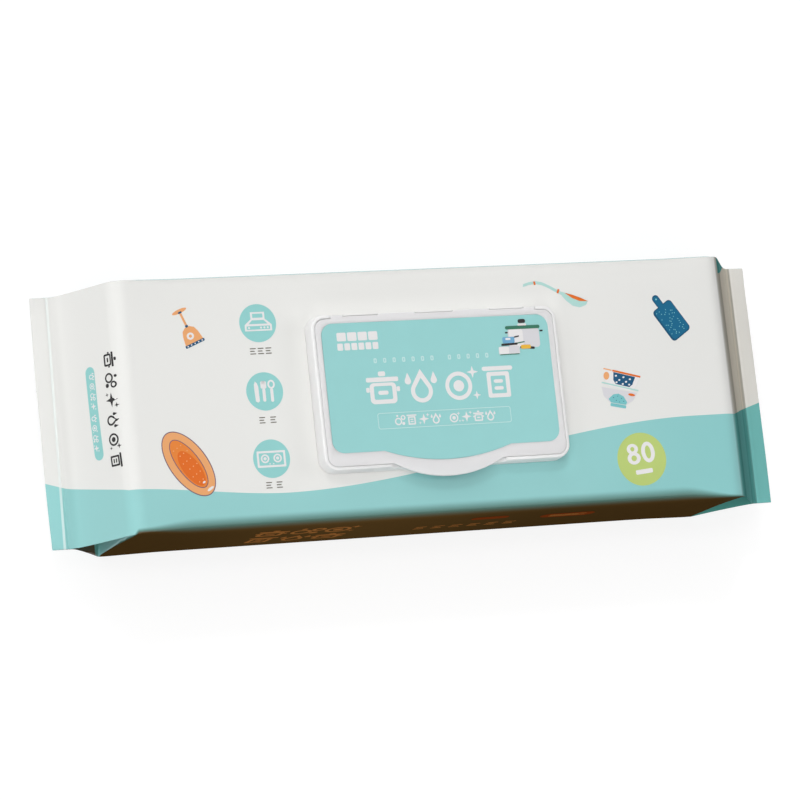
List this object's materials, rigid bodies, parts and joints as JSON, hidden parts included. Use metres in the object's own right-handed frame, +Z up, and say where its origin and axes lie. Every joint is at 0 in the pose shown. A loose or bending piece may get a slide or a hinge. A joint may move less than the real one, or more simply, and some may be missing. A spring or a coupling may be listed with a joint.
{
  "type": "wet wipes pack",
  "caption": "Flat folded-film pack of wet wipes with tucked, fin-sealed ends and a moulded flip lid over its dispensing opening.",
  "frame": {"origin": "under the middle of the pack, on the surface that it lies on", "axes": "+X along the pack to its right end, +Y to the lid's hinge at the back, +Z up out of the lid"},
  "size_m": [0.2894, 0.0936, 0.0564],
  "materials": {
    "film": "satin printed film, white with a teal wave, side panels teal",
    "lid_plastic": "satin white moulding",
    "cover_plastic": "satin white moulding",
    "label": "satin printed label, teal with white print",
    "seal": "satin peel-off film"
  },
  "bodies": {
    "pack": {"film_pack": "film", "lid_frame": "lid_plastic", "seal_sticker": "seal"},
    "lid": {"flip_lid": "cover_plastic", "lid_label": "label"}
  },
  "joints": [
    {"name": "lid_hinge", "type": "hinge", "parent": "pack", "child": "lid", "pos_m": [0, 0.02915, 0.05615], "axis": [-1, 0, 0], "range_deg": [0, 180]}
  ]
}
